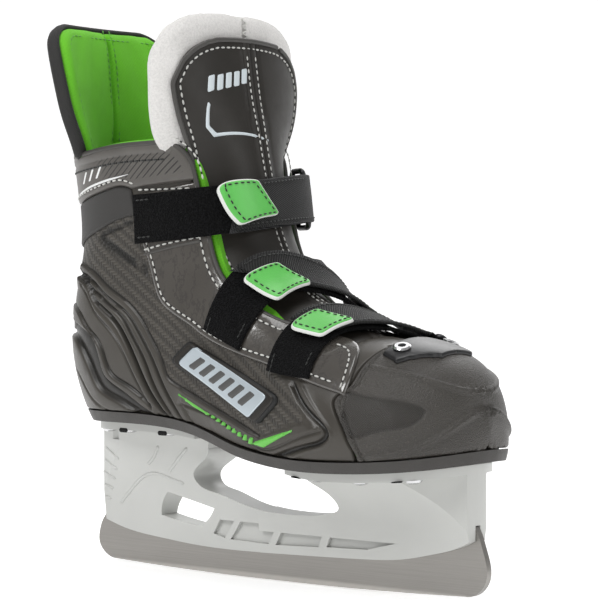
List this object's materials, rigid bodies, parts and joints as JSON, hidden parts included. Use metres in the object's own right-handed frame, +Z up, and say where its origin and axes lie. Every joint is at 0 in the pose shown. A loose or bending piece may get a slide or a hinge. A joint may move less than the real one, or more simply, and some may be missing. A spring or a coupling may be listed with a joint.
{
  "type": "ice skate",
  "caption": "Youth hockey-style ice skate with a moulded boot, hook-and-loop straps through wire rings, a felt-lined tongue, a flexing tendon guard and a steel runner in a plastic holder.",
  "frame": {"origin": "middle of the flat of the runner's edge", "axes": "+X to the toe, +Y to the inner (medial) side, +Z up"},
  "size_m": [0.2067, 0.094, 0.232],
  "materials": {
    "shell": "satin composite weave",
    "cover": "woven",
    "facing": "gloss",
    "toe": "satin",
    "lining": "brushed",
    "felt": "felt",
    "tongue": "nylon",
    "webbing": "twill",
    "loop": "loop pile",
    "tab": "matt",
    "holder": "satin",
    "outsole": "matt",
    "board": "matt",
    "steel": "ground",
    "hardware": "plated",
    "badge": "satin",
    "trim": "gloss"
  },
  "bodies": {
    "boot": {"quarter_lateral": "shell", "quarter_medial": "shell", "backstay": "cover", "ankle_panel": "cover", "collar_band": "cover", "facing_lateral": "facing", "facing_medial": "facing", "footbed": "felt", "ankle_cushions": "lining", "lining": "lining", "midsole_board": "board", "outsole": "outsole", "toe_cap": "toe", "toe_plate": "trim", "toe_eyelets": "hardware", "badge_frame_lateral": "trim", "badge_frame_medial": "trim", "badge_plate_lateral": "badge", "badge_plate_medial": "badge", "tongue_face": "tongue", "tongue_felt": "felt", "holder": "holder", "runner": "steel", "runner_bolts": "hardware", "front_rivets": "hardware", "rear_rivets": "hardware", "rivet_washers": "hardware", "ankle_strap_base": "loop", "ankle_strap_ring": "hardware", "ankle_strap_keeper": "webbing", "instep_strap_base": "loop", "instep_strap_ring": "hardware", "instep_strap_keeper": "webbing", "toe_strap_base": "loop", "toe_strap_ring": "hardware", "toe_strap_keeper": "webbing"},
    "tongue_upper": {"tongue_top_face": "tongue", "tongue_top_felt": "felt"},
    "tendon_guard": {"guard_shell": "cover", "guard_liner": "lining"},
    "ankle_flap": {"ankle_strap_flap": "webbing", "ankle_strap_tab": "tab", "ankle_strap_hook": "loop"},
    "instep_flap": {"instep_strap_flap": "webbing", "instep_strap_tab": "tab", "instep_strap_hook": "loop"},
    "toe_flap": {"toe_strap_flap": "webbing", "toe_strap_tab": "tab", "toe_strap_hook": "loop"}
  },
  "joints": [
    {"name": "tongue_fold", "type": "hinge", "parent": "boot", "child": "tongue_upper", "pos_m": [-0.0074, 0, 0.1685], "axis": [0, 1, 0], "range_deg": [0, 45]},
    {"name": "guard_flex", "type": "hinge", "parent": "boot", "child": "tendon_guard", "pos_m": [-0.0996, 0, 0.1739], "axis": [0, -1, 0], "range_deg": [0, 20], "stiffness_Nm_per_rad": 0.4},
    {"name": "ankle_strap_peel", "type": "hinge", "parent": "boot", "child": "ankle_flap", "pos_m": [-0.01069, 0.03387, 0.15608], "axis": [-0.0605, -0.1044, 0.9927], "range_deg": [0, 130]},
    {"name": "instep_strap_peel", "type": "hinge", "parent": "boot", "child": "instep_flap", "pos_m": [0.01323, 0.03774, 0.11042], "axis": [-0.9717, 0.1781, 0.1553], "range_deg": [0, 90]},
    {"name": "toe_strap_peel", "type": "hinge", "parent": "boot", "child": "toe_flap", "pos_m": [0.04683, 0.03239, 0.09962], "axis": [-0.9444, 0.2419, -0.2225], "range_deg": [0, 80]}
  ]
}
